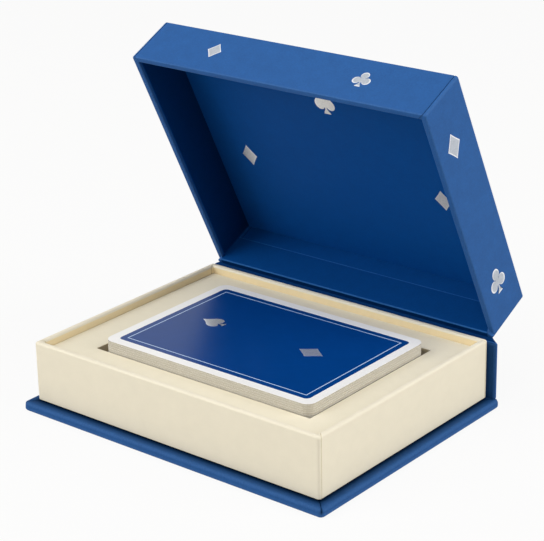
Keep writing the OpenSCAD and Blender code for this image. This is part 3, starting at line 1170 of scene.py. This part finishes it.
# Place of each soft lamp and the width of its square, in metres, and the point that they face
LAMPS = {
    "key": ((-0.7, -0.85, 0.75), 0.9),
    "top": ((0.3, -0.45, 1.2), 0.9),
    "fill": ((0.95, 0.45, 0.5), 0.7),
}
LIT_POINT = np.array([0, 0, 0.05])


class BOXED_DECK_OT_stage(bpy.types.Operator):
    """Camera at the photograph's angle, a pale floor, even light and three soft lamps"""

    bl_idname = "boxed_deck.stage"
    bl_label = "Stage"

    def execute(self, context):
        stage = context.scene.boxed_deck_stage
        self.camera(context, stage)
        self.floor(context, stage)
        self.sky(context, stage)
        self.lamps(context, stage)
        context.scene.view_settings.view_transform = "Standard"
        return {"FINISHED"}

    def camera(self, context, stage):
        """Stands back from the aim point along azimuth and elevation, then turns by the roll."""
        az, el, roll = stage.azimuth, stage.elevation, stage.roll
        back = np.array([math.sin(az) * math.cos(el), -math.cos(az) * math.cos(el), math.sin(el)])
        right = np.array([math.cos(az), math.sin(az), 0])
        up = np.cross(back, right)
        place = right * stage.aim_right + up * stage.aim_up + back * stage.distance
        across = right * math.cos(roll) + up * math.sin(roll)
        upward = up * math.cos(roll) - right * math.sin(roll)
        data = bpy.data.cameras.new("Camera")
        data.lens = stage.lens
        data.clip_start = NEAREST
        camera = bpy.data.objects.new("Camera", data)
        camera.matrix_world = placed(across, upward, back, place)
        context.scene.collection.objects.link(camera)
        context.scene.camera = camera

    def floor(self, context, stage):
        """A flat square just under the base, nearly white to the camera."""
        mesh = bpy.data.meshes.new("floor")
        square = FLOOR_HALF * np.array([[-1, -1, 0], [1, -1, 0], [1, 1, 0], [-1, 1, 0]])
        mesh.from_pydata((square - FLOOR_GAP * Z).tolist(), [], [[0, 1, 2, 3]])
        pale = tuple(stage.floor)
        mesh.materials.append(material("Pale_floor", lambda tree: white_to_camera(
            tree, node(tree, "ShaderNodeBsdfDiffuse", values={"Color": pale}), FLOOR_WHITE)))
        floor = bpy.data.objects.new("floor", mesh)
        context.scene.collection.objects.link(floor)

    def sky(self, context, stage):
        """Even light from all round, seen as white by the camera."""
        world = bpy.data.worlds.new("Even_light")
        world.use_nodes = True
        tree = world.node_tree
        tree.nodes.clear()
        even = node(tree, "ShaderNodeBackground",
                    values={"Color": tuple(stage.sky), "Strength": stage.sky_level})
        mixed = white_to_camera(tree, even, 1.0)
        node(tree, "ShaderNodeOutputWorld", links={"Surface": mixed.outputs[0]})
        context.scene.world = world

    def lamps(self, context, stage):
        """Square area lamps that face one point."""
        for name, (place, width) in LAMPS.items():
            data = bpy.data.lights.new(name, "AREA")
            data.energy = getattr(stage, name + "_power")
            data.size = width
            lamp = bpy.data.objects.new(name, data)
            back = (place - LIT_POINT) / np.linalg.norm(place - LIT_POINT)
            side = np.cross(Z, back)
            side /= np.linalg.norm(side)
            lamp.matrix_world = placed(side, np.cross(back, side), back, place)
            context.scene.collection.objects.link(lamp)


# Add-on

PIECES = (
    BOXED_DECK_OT_base_board,
    BOXED_DECK_OT_spine,
    BOXED_DECK_OT_tray,
    BOXED_DECK_OT_insert,
    BOXED_DECK_OT_lid,
    BOXED_DECK_OT_hinge_strip,
    BOXED_DECK_OT_cards,
    BOXED_DECK_OT_foil_marks,
    BOXED_DECK_OT_stage,
)


class BOXED_DECK_PT_panel(bpy.types.Panel):
    """Settings and pieces of the boxed deck"""

    bl_idname = "BOXED_DECK_PT_panel"
    bl_label = "Boxed deck"
    bl_space_type = "VIEW_3D"
    bl_region_type = "UI"
    bl_category = "Boxed deck"

    def draw(self, context):
        scene = context.scene
        for settings in (scene.boxed_deck_wraps, scene.boxed_deck_cards, scene.boxed_deck_stage):
            box = self.layout.box()
            for key in settings.__annotations__:
                box.prop(settings, key)
        for operator in PIECES:
            self.layout.operator(operator.bl_idname)


SETTINGS = {
    "boxed_deck_wraps": BoxWrapSettings,
    "boxed_deck_cards": CardSettings,
    "boxed_deck_stage": StageSettings,
}
CLASSES = (*SETTINGS.values(), *PIECES, BOXED_DECK_PT_panel)


def register():
    """Adds the classes to Blender and the settings to its scenes."""
    for cls in CLASSES:
        bpy.utils.register_class(cls)
    for name, cls in SETTINGS.items():
        setattr(bpy.types.Scene, name, PointerProperty(type=cls))


def unregister():
    """Takes the settings and the classes away again."""
    for name in SETTINGS:
        delattr(bpy.types.Scene, name)
    for cls in reversed(CLASSES):
        bpy.utils.unregister_class(cls)


def main():
    """Makes every piece and the stage."""
    register()
    bpy.ops.boxed_deck.base_board()
    bpy.ops.boxed_deck.spine()
    bpy.ops.boxed_deck.tray()
    bpy.ops.boxed_deck.insert()
    bpy.ops.boxed_deck.lid()
    bpy.ops.boxed_deck.hinge_strip()
    bpy.ops.boxed_deck.cards()
    bpy.ops.boxed_deck.foil_marks()
    bpy.ops.boxed_deck.stage()


if __name__ == "__main__":
    main()
